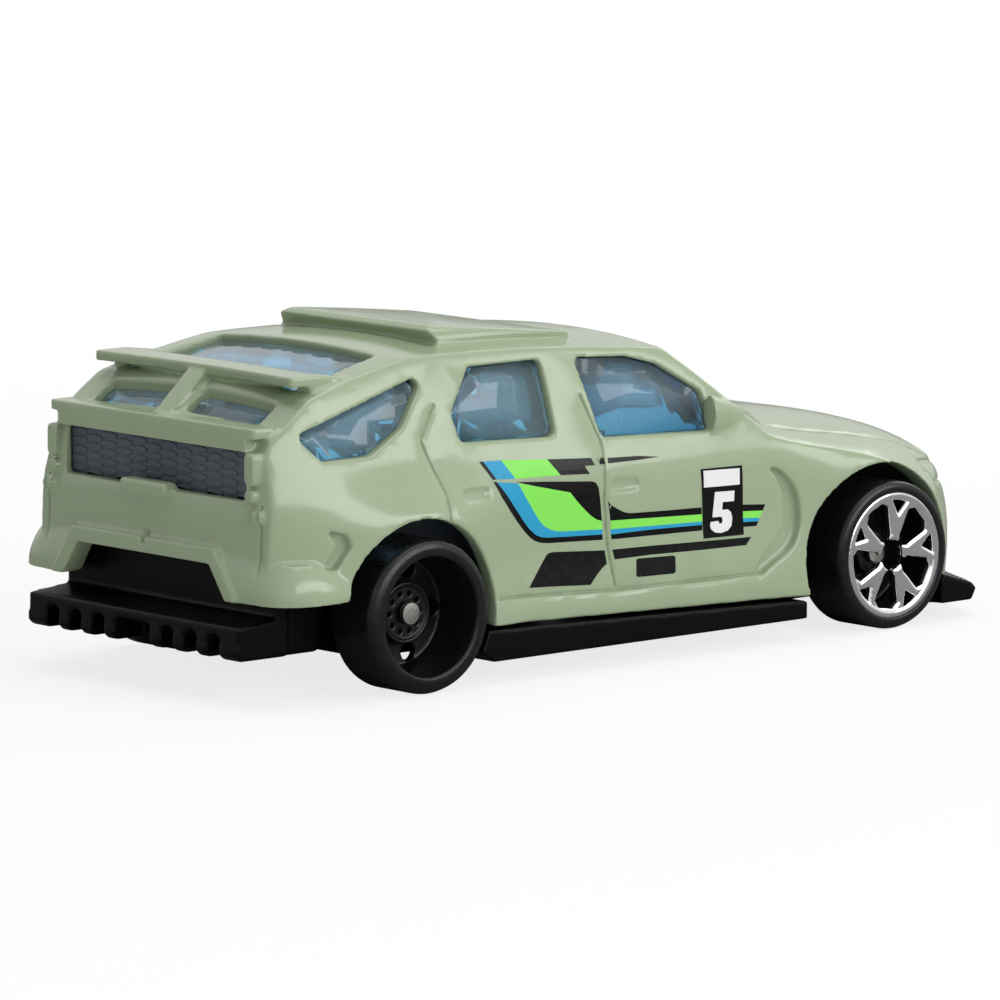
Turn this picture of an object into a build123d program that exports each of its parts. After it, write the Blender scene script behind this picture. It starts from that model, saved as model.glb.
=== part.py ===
"""A die-cast toy car of about 1:64: a rally-styled crossover with a sloping tail and two spoilers.

The body is one hollow metal casting. A clear window moulding and a grey interior moulding sit inside it,
a black plastic base closes it from below, and two steel axles held by the base carry four plastic wheels.
X runs forwards, Y to the car's left and Z up. The origin is on the ground, under the middle of the length.
All lengths are in millimetres.
"""

import os
from math import cos, pi

from build123d import *

os.makedirs("parts", exist_ok=True)

# Lengths along the car
wheelbase = 43.0
front_overhang = 14.3
rear_overhang = 12.4
splitter_reach = 2.2
diffuser_reach = 1.3
length = diffuser_reach + rear_overhang + wheelbase + front_overhang + splitter_reach
rear_axle_x = diffuser_reach + rear_overhang - length / 2
front_axle_x = rear_axle_x + wheelbase
nose_x = front_axle_x + front_overhang
tail_x = rear_axle_x - rear_overhang

# Wheels and axles
wheel_radius = 5.25
wheel_width = 4.5
wheel_outer_y = 15.15
wheel_inner_y = wheel_outer_y - wheel_width
axle_radius = 0.5
axle_head_radius = 0.73
axle_head_length = 0.35
running_clearance = 0.06
end_play = 0.12
seat_clearance = 0.08
tyre_shoulder = 0.6
tyre_bevel = 0.3
rear_hub_radius = 2.1
rear_hub_face = 1.85
rear_rim_radius = 4.05
front_rim_radius = 4.5
front_rim_width = 0.45
front_hub_radius = 1.5
front_hub_face = 2.2
web_thickness = 0.6
spoke_count = 5
spoke_depth = 0.8
spoke_face = wheel_width - 0.25
bolt_count = 10
bolt_circle = 1.32
bolt_radius = 0.17

# Side view of the casting
roof_z = 22.5
hood_z = 14.6
belt_z = 15.5
deck_z = 17.5
sill_z = 3.4
sill_rise = 0.031
rear_bumper_z = 6.85
cowl_x = 14.6
header_x = 2.5
roof_end_x = -21.4
hatch_x = -30.3
casting_wall = 1.15
nose_bow = 0.043
cowl_bow = 0.028
header_bow = 0.006
tail_bow = 0.004
roof_crown = 0.005
hood_crown = 0.007

# Half widths of the body at the sill, door, belt and roof rail, and its flares
sill_y = 14.05
door_y = 13.6
belt_y = 12.75
rail_y = 10.6
flare_out = 1.5
flare_length = 22.0
nose_draw = 0.03
tail_draw = 2.0
tail_draw_length = 6.3
side_heights = [2.0, 5.5, 8.5, 11.5, belt_z - 2, belt_z, belt_z + 3, roof_z - 1, roof_z + 2.5]
side_widths = [sill_y, sill_y - 0.1, door_y, door_y, door_y - 0.2, belt_y, belt_y - 1, rail_y, rail_y - 1.3]

# Wheel arches
wheel_gap = 0.5
arch_gap_rear = 1.25
arch_gap_front = 1.6
rear_arch_radius = wheel_radius + arch_gap_rear
front_arch_radius = wheel_radius + arch_gap_front
rear_arch_x = rear_axle_x - 0.3
front_arch_x = front_axle_x - 0.8
arch_y = 8.0

# Rear bumper flange and the raised cut-out in its middle
bumper_front_x = rear_arch_x - 5.3
flange_top_z = rear_bumper_z + 2.7
flange_taper = 0.95
cutout_top_z = 9.2
cutout_top_y = 7.0
cutout_foot_y = 8.8
lip_out = 0.35
lip_width = 1.1

# Grooves for shut lines, and the deeper hollows and intakes
seam_width = 0.3
seam_depth = 0.25
hollow_depth = 0.65
intake_z = 5.8

# Roof scoop, spoilers and mirrors
scoop_y = 8.2
scoop_rear_x = -17.3
scoop_front_x = -4.5
scoop_top_z = roof_z + 1.2
scoop_round = 1.2
spoiler_y = 10.5
spoiler_x = -31.3
spoiler_chord = 2.7
spoiler_thickness = 0.7
spoiler_end = 1.4
upper_spoiler_z = 20.9
lower_spoiler_z = 18.5
lower_spoiler_y = 10.9
lower_spoiler_x = tail_x + 0.46
strut_width = 1.75
lamp_y = 10.5
mirror_y = 12.85
mirror_z = belt_z + 0.9
mirror_rear_x = 4.4
mirror_length = 3.6

# Base
base_bottom_z = 2.0
base_thickness = 1.4
base_top_z = base_bottom_z + base_thickness
base_half_width = wheel_inner_y - 0.75
skirt_y = 14.6
skirt_bottom_z = 1.5
skirt_rear_x = rear_axle_x + 4.0
skirt_front_x = front_axle_x - 7.9
skirt_gap = 0.25
splitter_bottom_z = 1.2
splitter_thickness = 1.05
splitter_end_y = 13.1
splitter_end_z = 3.3
splitter_gap = 0.1
splitter_x = nose_x + splitter_reach
splitter_rear_x = front_axle_x + 1.9
diffuser_x = tail_x - diffuser_reach
diffuser_bottom_z = 3.1
diffuser_top_z = 5.4
diffuser_y = 11.2
diffuser_front_x = rear_axle_x - 6.4
slot_width = 1.25
slot_height = 1.6
slot_length = 2.6
slot_pitch = 2.45
slot_count = 3
centre_slot_width = 3.7
valance_x = tail_x + 2.2
valance_thickness = 0.9
valance_y = 10.9
valance_top_z = 9.8
saddle_length = 3.0
saddle_width = 3.2

# Rivet posts
post_radius = 1.3
post_head_radius = 1.9
post_head_height = 0.45
front_post_x = front_axle_x + 8.5
rear_post_x = rear_axle_x - 5.55
rear_post_top_z = 12.4
front_post_top_z = 12.6

# Window and interior mouldings
fit_gap = 0.08
pane_gap = 0.1
pane_sink = 0.5
glass_thickness = 0.8
glass_bottom_z = belt_z - 1.2
glass_front_x = 13.2
tray_bottom_z = 6.5
tray_floor = 0.8
tray_wall = 0.8
tray_top_z = 13.1
tray_front_x = front_axle_x - 7.8
tray_rear_x = rear_post_x + 1.65
tray_y = 9.9
panel_thickness = 0.8
panel_x = tail_x + casting_wall + 0.35
panel_bottom_z = 12.9
panel_top_z = deck_z + 0.05
recess_y = 9.6
recess_bottom_z = 13.6
recess_top_z = deck_z - 0.6
seat_x = 1.0
seat_y = 4.9
seat_width = 5.0
seat_top_z = belt_z + 1.5
bench_x = -12.5
steering_radius = 2.0
steering_x = 7.6
steering_z = 13.0


def side_width(x, z):
    """Half the body's width at a place along it and a height, with its flares, drawn-in nose and tail."""
    width = side_widths[-1]
    for low, high, at_low, at_high in zip(side_heights, side_heights[1:], side_widths, side_widths[1:]):
        if low <= z <= high:
            width = at_low + (at_high - at_low) * (z - low) / (high - low)
            break
    for centre in (rear_axle_x, front_axle_x):
        along = min(1.0, abs(x - centre) * 2 / flare_length)
        up = min(1.0, max(0.0, (z - 2 * wheel_radius) / (belt_z - 2 * wheel_radius)))
        width += flare_out * 0.25 * (1 + cos(pi * along)) * (1 + cos(pi * up))
    nose_start = front_axle_x + 3
    if x > nose_start:
        width -= nose_draw * (x - nose_start) ** 2
    tail_start = rear_axle_x - 6.1
    if x < tail_start:
        width -= tail_draw * ((tail_start - x) / tail_draw_length) ** 2.5
    return width


def side_block(inset):
    """The body's two flanks as one lofted block, taller than the car and drawn in by an inset."""
    rear = [rear_axle_x + step for step in (-14.1, -12.6, -10.6, -8.1, -5.1, -2.6, 0, 2.9, 5.9, 8.9)]
    front = [front_axle_x + step for step in (-9.1, -6.1, -3.1, -0.1, 2.9, 5.9, 8.9, 11.9, 15.9)]
    gap = (front[0] - rear[-1]) / 4
    middle = [rear[-1] + gap * step for step in (1, 2, 3)]
    with BuildPart() as block:
        for x in rear + middle + front:
            with BuildSketch(Plane.YZ.offset(x)):
                with BuildLine():
                    right = [(inset - side_width(x, z), z) for z in side_heights]
                    left = [(-y, z) for y, z in reversed(right)]
                    Spline(*right)
                    Line(right[-1], left[0])
                    Spline(*left)
                    Line(left[-1], right[0])
                make_face()
        loft()
    return block.part


def top_outline(y, inset):
    """The side view's outline at a distance from the centre line, drawn in by an inset."""

    def at(x, z, bow=0.0, crown=roof_crown):
        return (x - bow * y * y, z - crown * y * y)

    nose = nose_x - inset
    tail = tail_x + inset
    low = -3
    nose_top = at(nose - 1.2, hood_z - 3.6 - inset, nose_bow, hood_crown)
    cowl = at(cowl_x - inset * 0.7, hood_z + 1.1 - inset, cowl_bow, hood_crown)
    screen_x = (cowl_x + header_x) / 2 - inset * 0.5
    screen_z = (hood_z + roof_z) / 2 - inset * 1.1
    screen = at(screen_x, screen_z, (cowl_bow + header_bow) / 2, (hood_crown + roof_crown) / 2)
    header = at(header_x - inset * 0.3, roof_z - 0.9 - inset, header_bow)
    roof_end = at(roof_end_x, roof_z + 0.1 - inset)
    hatch = at(hatch_x + inset * 0.3, roof_z - 1.8 - inset)
    shelf = at(hatch_x - 3.3 + inset * 0.7, deck_z + 0.7 - inset)
    deck_edge = at(tail + 0.8, deck_z - 0.1 - inset, -tail_bow)
    return [
        [at(tail, low, -tail_bow), at(nose, low, nose_bow)],
        [at(nose, low, nose_bow), at(nose, 4, nose_bow), at(nose, 8.0 - inset, nose_bow), nose_top],
        [
            nose_top,
            at(nose_x - 6.9, hood_z - 1.4 - inset, nose_bow * 0.75, hood_crown),
            at(nose_x - 13.4, hood_z - 0.1 - inset, nose_bow * 0.7, hood_crown),
            cowl,
        ],
        [cowl, screen, header],
        [header, at(-6, roof_z - 0.25 - inset), at(-14, roof_z + 0.1 - inset), roof_end],
        [roof_end, at((roof_end_x + hatch_x) / 2, roof_z - 0.7 - inset), hatch],
        [hatch, shelf],
        [shelf, deck_edge],
        [deck_edge, at(tail + 0.25, belt_z - 2.5, -tail_bow), at(tail, 8.5, -tail_bow), at(tail, low, -tail_bow)],
    ]


def top_block(inset):
    """Everything under the hood, windscreen, roof and tail, lofted across the car."""
    with BuildPart() as block:
        for y in (16, 8, 0, -8, -16):
            with BuildSketch(Plane.XZ.offset(-y)):
                with BuildLine():
                    for points in top_outline(y, inset):
                        if len(points) == 2:
                            Line(*points)
                        else:
                            Spline(*points)
                make_face()
        loft()
    return block.part


def body_form(inset, drop):
    """The car's whole outer form, drawn in by an inset and cut along its lower edge, lowered by a drop."""
    flanks = side_block(inset)
    tops = top_block(inset)
    with BuildPart() as form:
        add(flanks)
        add(tops, mode=Mode.INTERSECT)
        with BuildSketch(Plane.XZ):
            with BuildLine():
                Polyline(
                    (-45, sill_z + 45 * sill_rise - drop),
                    (45, sill_z - 45 * sill_rise - drop),
                    (45, -20),
                    (-45, -20),
                    close=True,
                )
            make_face()
        extrude(amount=25, both=True, mode=Mode.SUBTRACT)
    return form.part


def side_windows(gap):
    """The front door, rear door and quarter windows as prisms across the car, each smaller by a gap."""
    sill = belt_z + 0.1
    top = roof_z - 1.4
    outlines = [
        [(4.9, sill - 0.4), (4.4, top - 3.2), (1.0, top - 1.1), (-1.6, top - 0.4), (-6.4, top - 0.1), (-5.4, sill)],
        [(-9.5, sill + 0.4), (-9.4, top), (-15.9, top), (-18.3, top - 2.8), (-18.0, sill + 0.7)],
        [(-19.7, top), (-22.9, top - 3.5), (-26.0, sill + 0.5), (-30.2, sill + 0.5), (-32.0, top - 3.2)],
    ]
    with BuildPart() as windows:
        for corners in outlines:
            with BuildSketch(Plane.XZ):
                with BuildLine():
                    Polyline(*corners, close=True)
                make_face()
                offset(amount=-gap, kind=Kind.INTERSECTION)
                fillet(vertices(), 0.45)
            extrude(amount=20, both=True)
    return windows.part


def end_windows(gap):
    """The windscreen, the rear window and the small window between the spoilers, each smaller by a gap."""
    with BuildPart() as windows:
        with BuildSketch(Plane.XY.offset(hood_z - 0.2)):
            with BuildLine():
                Polyline(
                    (cowl_x - 1.2, 0),
                    (cowl_x - 3.2, 10.4),
                    (header_x + 1.2, 9.0),
                    (header_x + 1.6, 0),
                    close=True,
                )
            make_face()
            mirror(about=Plane.XZ)
            offset(amount=-gap, kind=Kind.INTERSECTION)
            fillet(vertices().filter_by(lambda v: abs(v.Y) > 1), 0.6)
        extrude(amount=10)
        with BuildSketch(Plane.XY.offset(deck_z)):
            with BuildLine():
                Polyline(
                    (roof_end_x - 0.6, -8.2),
                    (hatch_x + 0.8, -9.0),
                    (hatch_x + 0.8, 9.0),
                    (roof_end_x - 0.6, 8.2),
                    close=True,
                )
            make_face()
            with Locations((hatch_x - 1.6, -5.0), (hatch_x - 1.6, 5.0)):
                Rectangle(1.8, 7.6)
            offset(amount=-gap, kind=Kind.INTERSECTION)
            fillet(vertices(), 0.45)
        extrude(amount=8)
    return windows.part


def carve(prisms, depth):
    """What some prisms cut from the body's skin to a depth."""
    core = body_form(depth, 2)
    with BuildPart() as tool:
        add(prisms)
        add(core, mode=Mode.SUBTRACT)
    return tool.part


# Bumper flange, standing out round the tail under the tailgate
with BuildPart() as flange:
    for z, inset in ((rear_bumper_z - 1, 0.0), (rear_bumper_z + 1.1, 0.0), (flange_top_z, flange_taper)):
        with BuildSketch(Plane.XY.offset(z)):
            with BuildLine():
                front = (rear_axle_x - 4.1, door_y + 0.6 - inset)
                Line((front[0], -front[1]), front)
                Spline(
                    front,
                    (tail_x + 3.8, door_y + 0.9 - inset),
                    (tail_x + 1.6, door_y + 0.5 - inset),
                    (tail_x + 0.5 + inset * 0.7, door_y - 0.5 - inset * 0.7),
                    (tail_x + inset * 0.5, door_y - 2.8 - inset * 0.5),
                    (tail_x - 0.25 + inset * 0.3, 0),
                    (tail_x + inset * 0.5, -(door_y - 2.8 - inset * 0.5)),
                    (tail_x + 0.5 + inset * 0.7, -(door_y - 0.5 - inset * 0.7)),
                    (tail_x + 1.6, -(door_y + 0.5 - inset)),
                    (tail_x + 3.8, -(door_y + 0.9 - inset)),
                    (front[0], -front[1]),
                )
            make_face()
    loft()

    # Raised lip over the cut-out
    with BuildSketch(Plane.YZ.offset(tail_x - lip_out)):
        with BuildLine():
            Polyline(
                (-cutout_foot_y - lip_width, rear_bumper_z),
                (-cutout_top_y - lip_width / 2, cutout_top_z + lip_width),
                (cutout_top_y + lip_width / 2, cutout_top_z + lip_width),
                (cutout_foot_y + lip_width, rear_bumper_z),
                close=True,
            )
        make_face()
    extrude(amount=lip_out + casting_wall)

# Everything cut through the casting
side_openings = side_windows(0)
end_openings = end_windows(0)

with BuildPart() as openings:
    add(side_openings)
    add(end_openings)

    # Wheel arches
    for x, z, radius in (
        (rear_arch_x, wheel_radius + 0.1, rear_arch_radius),
        (front_arch_x, wheel_radius - 0.25, front_arch_radius),
    ):
        for side in (-1, 1):
            with BuildSketch(Plane.XZ.offset(-side * arch_y)):
                with Locations((x, z)):
                    Circle(radius)
            extrude(amount=-side * 10)

    # Underside of the rear bumper and its raised middle
    with BuildSketch(Plane.XZ):
        with Locations((bumper_front_x, rear_bumper_z)):
            Rectangle(20, 20, align=(Align.MAX, Align.MAX))
    extrude(amount=25, both=True)
    with BuildSketch(Plane.YZ.offset(tail_x - 2)):
        with BuildLine():
            Polyline(
                (-cutout_foot_y, rear_bumper_z - 0.2),
                (-cutout_top_y, cutout_top_z),
                (cutout_top_y, cutout_top_z),
                (cutout_foot_y, rear_bumper_z - 0.2),
                close=True,
            )
        make_face()
    extrude(amount=4.5)

    # Lower front corners, over the ends of the splitter
    for side in (-1, 1):
        with BuildSketch(Plane.XZ.offset(-side * (splitter_end_y - splitter_gap))):
            with Locations((front_axle_x, splitter_end_z + splitter_gap)):
                Rectangle(20, 5, align=(Align.MIN, Align.MAX))
        extrude(amount=-side * 5)

    # Opening in the tail for the honeycomb panel, and the pocket that the panel sits in
    with BuildSketch(Plane.YZ.offset(tail_x - 2)):
        with Locations((0, (recess_bottom_z + recess_top_z) / 2)):
            RectangleRounded(2 * recess_y, recess_top_z - recess_bottom_z, 0.3)
    extrude(amount=5)
    with BuildSketch(Plane.YZ.offset(panel_x - fit_gap)):
        with Locations((0, (panel_bottom_z + panel_top_z) / 2)):
            Rectangle(2 * (tray_y + fit_gap), panel_top_z - panel_bottom_z + 2 * fit_gap)
    extrude(amount=2)

# Shut lines of the doors, tailgate and hood, door handles and headlamp outlines
with BuildPart() as seam_prisms:
    with BuildSketch(Plane.XZ):
        with BuildLine():
            Polyline((-6.6, belt_z + 3), (-5.6, belt_z - 0.2), (-6.0, 11.4), (-5.7, 8.0), (-5.3, 5.4))
            Polyline((-19.7, belt_z + 3.4), (-21.4, belt_z + 1.3), (-20.7, 13.4), (-20.9, 11.0))
            Polyline((front_arch_x - 11.2, 5.0), (-5.3, 5.2), (rear_arch_x + 7.0, 5.7))
        trace(line_width=seam_width)
    extrude(amount=20, both=True)
    with BuildSketch(Plane.XZ):
        with Locations((-4.1, 12.3), (-17.9, 12.9)):
            SlotOverall(2.7, 0.9)
    extrude(amount=20, both=True)
    with BuildSketch(Plane.YZ.offset(tail_x - 3)):
        with BuildLine():
            Line((-11.27, 8.9), (-11.27, recess_bottom_z - 0.3))
            Line((11.27, 8.9), (11.27, recess_bottom_z - 0.3))
        trace(line_width=seam_width)
        with BuildLine():
            Polyline((-0.45, cutout_top_z + 1.5), (0.45, cutout_top_z + 1.5), (0, cutout_top_z + 0.4), close=True)
        make_face()
    extrude(amount=6)
    with BuildSketch(Plane.XY.offset(hood_z - 6)):
        with BuildLine():
            for side in (-1, 1):
                Polyline(
                    (cowl_x - 2.6, side * 10.6),
                    (nose_x - 13, side * 10.2),
                    (nose_x - 4.9, side * 8.2),
                    (nose_x - 3.4, side * 4.0),
                    (nose_x - 2.7, 0),
                )
        trace(line_width=seam_width)
    extrude(amount=12)
    with BuildSketch(Plane.YZ.offset(nose_x - 9)):
        for side in (-1, 1):
            with BuildLine():
                Polyline(
                    (side * 7.2, 8.9),
                    (side * 7.6, 10.3),
                    (side * 12.2, 11.2),
                    (side * 12.4, 9.6),
                    (side * 7.2, 8.9),
                )
        trace(line_width=seam_width)
    extrude(amount=14)

# Hollows behind the front wheels and at the rear corners, and the intakes of the nose
with BuildPart() as hollow_prisms:
    with BuildSketch(Plane.XZ):
        with BuildLine():
            top = (front_arch_x - 10.4, 12.4)
            foot = (front_arch_x - 10.8, 4.8)
            tip = (front_arch_x - 11.4, 5.1)
            front_side = [(front_arch_x - 8.0, 11.3), (front_arch_x - 7.15, 9.2), (front_arch_x - 7.8, 6.7)]
            door_side = [(front_arch_x - 10.3, 6.4), (front_arch_x - 8.9, 7.6), (front_arch_x - 8.6, 9.8)]
            Spline(top, *front_side, (front_arch_x - 9.7, 5.5), foot)
            Line(foot, tip)
            Spline(tip, *door_side, (front_arch_x - 9.2, 11.6), top)
        make_face()
        with BuildLine():
            Polyline(
                (rear_arch_x - 7.7, 11.7),
                (rear_arch_x - 6.2, 11.3),
                (rear_arch_x - 5.9, 10.5),
                (rear_arch_x - 7.0, 9.0),
                (rear_arch_x - 7.9, 9.1),
                (rear_arch_x - 7.0, 10.7),
                close=True,
            )
        make_face()
    extrude(amount=20, both=True)
    with BuildSketch(Plane.YZ.offset(nose_x - 6)):
        with Locations((0, intake_z)):
            RectangleRounded(13.0, 2.8, 0.6)
        with Locations((-3.4, 9.8), (3.4, 9.8)):
            SlotOverall(5.0, 1.3)
        with Locations((-9.6, intake_z), (9.6, intake_z)):
            SlotOverall(3.4, 1.8)
    extrude(amount=12)

# Roof scoop, open to the rear with a hollow face and rounded ends
with BuildPart() as scoop:
    with BuildSketch(Plane.XZ.offset(-scoop_y)):
        with BuildLine():
            Spline(
                (scoop_rear_x, roof_z - 0.7),
                (scoop_rear_x + 0.8, scoop_top_z - 1.2),
                (scoop_rear_x + 0.3, scoop_top_z - 0.35),
            )
            Line((scoop_rear_x + 0.3, scoop_top_z - 0.35), (scoop_rear_x + 0.9, scoop_top_z))
            Spline(
                (scoop_rear_x + 0.9, scoop_top_z),
                ((scoop_rear_x + scoop_front_x) / 2, scoop_top_z - 0.55),
                (scoop_front_x, roof_z - 0.05),
            )
            Polyline((scoop_front_x, roof_z - 0.05), (scoop_front_x, roof_z - 0.7), (scoop_rear_x, roof_z - 0.7))
        make_face()
    extrude(amount=2 * scoop_y)
    with BuildSketch(Plane.YZ.offset(scoop_rear_x - 1)):
        with Locations((0, scoop_top_z)):
            Rectangle(2 * scoop_y, 4, align=(Align.CENTER, Align.MAX))
        fillet(vertices().group_by(Axis.Y)[-1], scoop_round)
    extrude(amount=scoop_front_x - scoop_rear_x + 2, mode=Mode.INTERSECT)

# Rivet posts, spoilers and mirrors, all cast with the body
with BuildPart() as fittings:
    add(scoop.part)

    # Rivet posts, with the rear one bridged to the tail wall, and their peened heads
    for x, foot, top in (
        (front_post_x, base_bottom_z, front_post_top_z),
        (rear_post_x, diffuser_bottom_z, rear_post_top_z),
    ):
        with BuildSketch(Plane.XY.offset(foot)):
            with Locations((x, 0)):
                Circle(post_radius)
        extrude(amount=top - foot)
        with BuildSketch(Plane.XY.offset(foot)):
            with Locations((x, 0)):
                Circle(post_head_radius)
        extrude(amount=post_head_height)
    with BuildSketch(Plane.XY.offset(rear_post_top_z)):
        with Locations((rear_post_x, 0)):
            Rectangle(
                rear_post_x - tail_x - casting_wall / 2,
                post_radius * 1.6,
                align=(Align.MAX, Align.CENTER),
            )
    extrude(amount=-1.9)

    # Upper spoiler bar, its ends down on the rear pillars, and the strut under its middle
    with BuildSketch(Plane.XY.offset(upper_spoiler_z)):
        with BuildLine():
            front = spoiler_x + spoiler_chord
            ThreePointArc((spoiler_x, -spoiler_y), (spoiler_x + 0.6, 0), (spoiler_x, spoiler_y))
            Line((spoiler_x, spoiler_y), (front, spoiler_y))
            ThreePointArc((front, spoiler_y), (front + 0.5, 0), (front, -spoiler_y))
            Line((front, -spoiler_y), (spoiler_x, -spoiler_y))
        make_face()
        fillet(vertices(), 0.4)
    extrude(amount=spoiler_thickness)
    for side in (-1, 1):
        with BuildSketch(Plane.XZ.offset(-side * spoiler_y)):
            with BuildLine():
                Polyline(
                    (spoiler_x + 1.4, upper_spoiler_z + 0.2),
                    (spoiler_x + 2.2, upper_spoiler_z - 0.9),
                    (front + 2.6, upper_spoiler_z - 0.3),
                    (front + 2.6, upper_spoiler_z + 0.35),
                    (front - 0.1, upper_spoiler_z + spoiler_thickness),
                    (spoiler_x + 1.4, upper_spoiler_z + spoiler_thickness),
                    close=True,
                )
            make_face()
        extrude(amount=side * spoiler_end)
    with BuildSketch(Plane.XZ.offset(-strut_width / 2)):
        with BuildLine():
            Polyline(
                (lower_spoiler_x + 0.94, lower_spoiler_z),
                (spoiler_x + 0.4, upper_spoiler_z + 0.3),
                (spoiler_x + 1.9, upper_spoiler_z + 0.3),
                (lower_spoiler_x + 3.4, lower_spoiler_z),
                close=True,
            )
        make_face()
    extrude(amount=strut_width)

    # Lower spoiler plate with a second lip under its edge
    with BuildSketch(Plane.XY.offset(lower_spoiler_z - spoiler_thickness)):
        with Locations((lower_spoiler_x, 0)):
            Rectangle(2.0, 2 * lower_spoiler_y, align=(Align.MIN, Align.CENTER))
        fillet(vertices(), 0.35)
    extrude(amount=spoiler_thickness)
    with BuildSketch(Plane.XY.offset(recess_top_z)):
        with Locations((panel_x - fit_gap, 0)):
            Rectangle(
                panel_x - fit_gap - lower_spoiler_x + 0.06,
                2 * recess_y + 0.8,
                align=(Align.MAX, Align.CENTER),
            )
    extrude(amount=lower_spoiler_z - spoiler_thickness - recess_top_z + 0.1)

    # Handle pad under the honeycomb, and the tail lamps beside it
    with BuildSketch(Plane.YZ.offset(tail_x - 0.3)):
        with Locations((0, recess_bottom_z)):
            RectangleRounded(5.0, 1.0, 0.4)
    extrude(amount=casting_wall)
    for side in (-1, 1):
        with BuildSketch(Plane.YZ.offset(tail_x + 0.3)):
            with Locations((side * lamp_y, belt_z + 0.3)):
                RectangleRounded(1.0, 2.2, 0.4)
            with Locations((side * lamp_y, belt_z - 1.5)):
                RectangleRounded(1.0, 0.9, 0.4)
            with Locations((side * (lamp_y + 0.6), belt_z - 2.8)):
                RectangleRounded(1.0, 0.9, 0.4)
        extrude(amount=1.0)

    # Door mirrors, tapering forwards
    for side in (-1, 1):
        with BuildSketch(Plane.YZ.offset(mirror_rear_x)):
            with Locations((side * mirror_y, mirror_z)):
                Ellipse(0.7, 1.35)
        with BuildSketch(Plane.YZ.offset(mirror_rear_x + mirror_length)):
            with Locations((side * (mirror_y - 0.75), mirror_z - 0.5)):
                Ellipse(0.45, 0.7)
        loft()

# The body casting
outer_skin = body_form(0, 0)
cavity = body_form(casting_wall, 4)
seams = carve(seam_prisms.part, seam_depth)
hollows = carve(hollow_prisms.part, hollow_depth)

with BuildPart() as body:
    add(outer_skin)
    add(flange.part)
    add(cavity, mode=Mode.SUBTRACT)
    add([openings.part, seams, hollows], mode=Mode.SUBTRACT)
    add(fittings.part)

body.part.label = "body_casting"
export_step(body.part, "parts/body_casting.step")

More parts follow.
